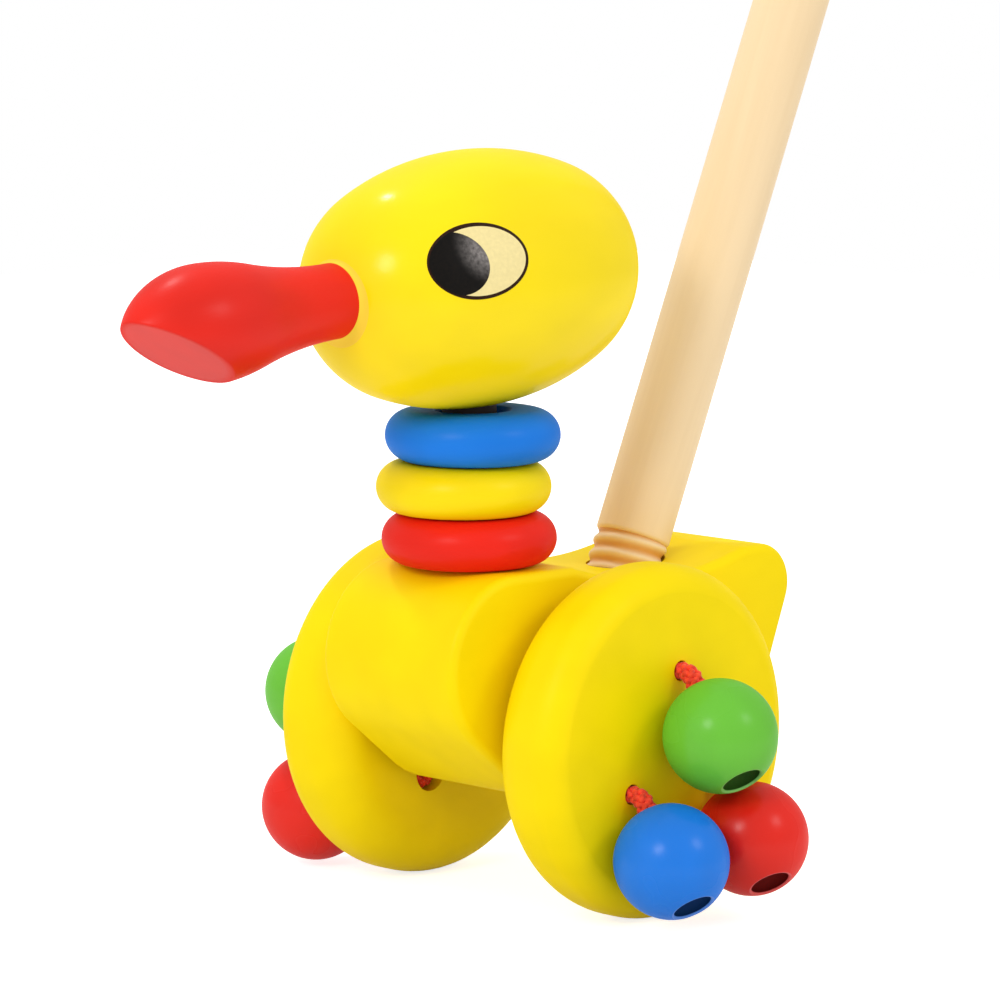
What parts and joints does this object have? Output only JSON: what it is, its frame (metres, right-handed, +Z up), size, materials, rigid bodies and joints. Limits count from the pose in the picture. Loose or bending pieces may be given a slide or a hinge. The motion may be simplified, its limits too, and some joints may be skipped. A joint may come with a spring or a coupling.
{
  "type": "duck push toy",
  "caption": "Wooden push-along duck with a long stick, rolling wheels that carry ball beads on short cords, loose neck rings and a beaked head.",
  "frame": {"origin": "on the floor under the middle of the axle", "axes": "+X to the beak, +Y to the duck's left, +Z up"},
  "size_m": [0.3396, 0.1366, 0.4734],
  "materials": {
    "yellow_lacquer": "satin yellow lacquer on solid wood",
    "red_lacquer": "satin red lacquer on solid wood",
    "blue_lacquer": "satin blue lacquer on solid wood",
    "green_lacquer": "satin green lacquer on solid wood",
    "plain_wood": "clear matt varnish on pale wood",
    "red_cord": "braided cord"
  },
  "bodies": {
    "duck": {"body": "yellow_lacquer", "neck_dowel": "plain_wood", "head": "yellow_lacquer", "beak": "red_lacquer", "stick": "plain_wood", "knob": "plain_wood"},
    "wheelset": {"axle": "plain_wood", "wheel_left": "yellow_lacquer", "wheel_right": "yellow_lacquer"},
    "neck_ring_red": {"ring_red": "red_lacquer"},
    "neck_ring_yellow": {"ring_yellow": "yellow_lacquer"},
    "neck_ring_blue": {"ring_blue": "blue_lacquer"},
    "left_green_cord": {"cord_left_green": "red_cord"},
    "left_green_bead": {"bead_left_green": "green_lacquer"},
    "left_blue_cord": {"cord_left_blue": "red_cord"},
    "left_blue_bead": {"bead_left_blue": "blue_lacquer"},
    "left_red_cord": {"cord_left_red": "red_cord"},
    "left_red_bead": {"bead_left_red": "red_lacquer"},
    "right_green_cord": {"cord_right_green": "red_cord"},
    "right_green_bead": {"bead_right_green": "green_lacquer"},
    "right_blue_cord": {"cord_right_blue": "red_cord"},
    "right_blue_bead": {"bead_right_blue": "blue_lacquer"},
    "right_red_cord": {"cord_right_red": "red_cord"},
    "right_red_bead": {"bead_right_red": "red_lacquer"}
  },
  "joints": [
    {"name": "wheel_roll", "type": "hinge", "parent": "duck", "child": "wheelset", "pos_m": [0, 0, 0.039], "axis": [0, 1, 0], "continuous": true},
    {"name": "ring_red_turn", "type": "hinge", "parent": "duck", "child": "neck_ring_red", "pos_m": [0.0196, 0, 0.08225], "axis": [0, 0, 1], "continuous": true},
    {"name": "ring_yellow_turn", "type": "hinge", "parent": "duck", "child": "neck_ring_yellow", "pos_m": [0.02045, -0.00085, 0.0936], "axis": [0, 0, 1], "continuous": true},
    {"name": "ring_blue_turn", "type": "hinge", "parent": "duck", "child": "neck_ring_blue", "pos_m": [0.01903, 0.00057, 0.10495], "axis": [0, 0, 1], "continuous": true},
    {"name": "left_green_swing", "type": "hinge", "parent": "wheelset", "child": "left_green_cord", "pos_m": [-0.00225, 0.043, 0.05501], "axis": [0, 1, 0], "continuous": true},
    {"name": "left_green_spin", "type": "hinge", "parent": "left_green_cord", "child": "left_green_bead", "pos_m": [-0.00061, 0.0558, 0.04255], "axis": [0.1007, 0.6361, -0.765], "continuous": true},
    {"name": "left_blue_swing", "type": "hinge", "parent": "wheelset", "child": "left_blue_cord", "pos_m": [0.01332, 0.043, 0.02984], "axis": [0, 1, 0], "continuous": true},
    {"name": "left_blue_spin", "type": "hinge", "parent": "left_blue_cord", "child": "left_blue_bead", "pos_m": [0.01496, 0.0558, 0.01738], "axis": [0.1007, 0.6361, -0.765], "continuous": true},
    {"name": "left_red_swing", "type": "hinge", "parent": "wheelset", "child": "left_red_cord", "pos_m": [-0.01386, 0.043, 0.03067], "axis": [0, 1, 0], "continuous": true},
    {"name": "left_red_spin", "type": "hinge", "parent": "left_red_cord", "child": "left_red_bead", "pos_m": [-0.01103, 0.0558, 0.01843], "axis": [0.1736, 0.6361, -0.7518], "continuous": true},
    {"name": "right_green_swing", "type": "hinge", "parent": "wheelset", "child": "right_green_cord", "pos_m": [0.00892, -0.043, 0.05248], "axis": [0, 1, 0], "continuous": true},
    {"name": "right_green_spin", "type": "hinge", "parent": "right_green_cord", "child": "right_green_bead", "pos_m": [0.01154, -0.0558, 0.04019], "axis": [0.1604, -0.6361, -0.7548], "continuous": true},
    {"name": "right_blue_swing", "type": "hinge", "parent": "wheelset", "child": "right_blue_cord", "pos_m": [-0.01616, -0.043, 0.03844], "axis": [0, 1, 0], "continuous": true},
    {"name": "right_blue_spin", "type": "hinge", "parent": "right_blue_cord", "child": "right_blue_bead", "pos_m": [-0.01354, -0.0558, 0.02614], "axis": [0.1604, -0.6361, -0.7548], "continuous": true},
    {"name": "right_red_swing", "type": "hinge", "parent": "wheelset", "child": "right_red_cord", "pos_m": [0.00857, -0.043, 0.02529], "axis": [0, 1, 0], "continuous": true},
    {"name": "right_red_spin", "type": "hinge", "parent": "right_red_cord", "child": "right_red_bead", "pos_m": [0.01286, -0.0558, 0.01348], "axis": [0.2639, -0.6361, -0.7251], "continuous": true}
  ],
  "couplings": [
    {"joint": "left_blue_swing", "follows": "left_green_swing", "ratio": 1},
    {"joint": "left_red_swing", "follows": "left_green_swing", "ratio": 1},
    {"joint": "right_blue_swing", "follows": "right_green_swing", "ratio": 1},
    {"joint": "right_red_swing", "follows": "right_green_swing", "ratio": 1}
  ]
}
